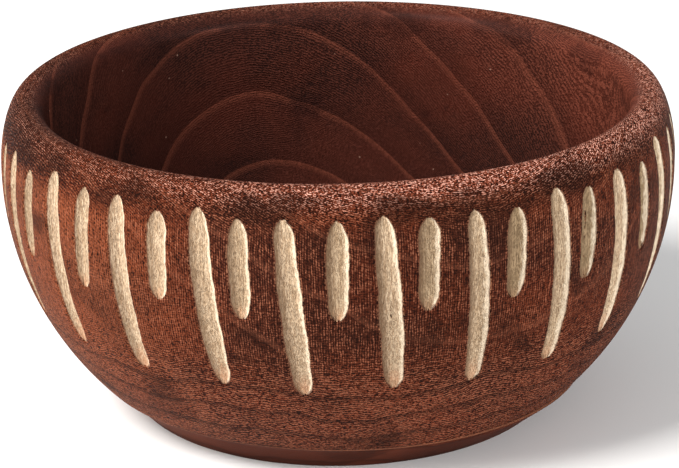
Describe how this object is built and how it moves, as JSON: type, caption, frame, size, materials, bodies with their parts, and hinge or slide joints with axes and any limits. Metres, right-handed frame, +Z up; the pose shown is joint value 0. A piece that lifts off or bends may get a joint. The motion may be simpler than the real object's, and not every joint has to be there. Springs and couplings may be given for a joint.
{
  "type": "carved wooden bowl",
  "caption": "Round turned hardwood bowl with a rolled lip, a flat bevelled foot and a ring of long and short gouge cuts round the belly.",
  "frame": {"origin": "centre of the flat foot, on the surface that the bowl stands on", "axes": "+Z up through the mouth, and -Y towards the short cut that is numbered first"},
  "size_m": [0.16, 0.16, 0.076],
  "materials": {
    "dyed_wood": "satin, fine open pores, reddish brown dye",
    "bare_wood": "matte, bare and fibrous, pale cream"
  },
  "bodies": {
    "root": {"bowl_body": "dyed_wood", "short_cut_01": "bare_wood", "long_cut_01": "bare_wood", "short_cut_02": "bare_wood", "long_cut_02": "bare_wood", "short_cut_03": "bare_wood", "long_cut_03": "bare_wood", "short_cut_04": "bare_wood", "long_cut_04": "bare_wood", "short_cut_05": "bare_wood", "long_cut_05": "bare_wood", "short_cut_06": "bare_wood", "long_cut_06": "bare_wood", "short_cut_07": "bare_wood", "long_cut_07": "bare_wood", "short_cut_08": "bare_wood", "long_cut_08": "bare_wood", "short_cut_09": "bare_wood", "long_cut_09": "bare_wood", "short_cut_10": "bare_wood", "long_cut_10": "bare_wood", "short_cut_11": "bare_wood", "long_cut_11": "bare_wood", "short_cut_12": "bare_wood", "long_cut_12": "bare_wood", "short_cut_13": "bare_wood", "long_cut_13": "bare_wood", "short_cut_14": "bare_wood", "long_cut_14": "bare_wood", "short_cut_15": "bare_wood", "long_cut_15": "bare_wood", "short_cut_16": "bare_wood", "long_cut_16": "bare_wood", "short_cut_17": "bare_wood", "long_cut_17": "bare_wood", "short_cut_18": "bare_wood", "long_cut_18": "bare_wood", "short_cut_19": "bare_wood", "long_cut_19": "bare_wood", "short_cut_20": "bare_wood", "long_cut_20": "bare_wood", "short_cut_21": "bare_wood", "long_cut_21": "bare_wood", "short_cut_22": "bare_wood", "long_cut_22": "bare_wood", "short_cut_23": "bare_wood", "long_cut_23": "bare_wood", "short_cut_24": "bare_wood", "long_cut_24": "bare_wood"}
  },
  "joints": []
}
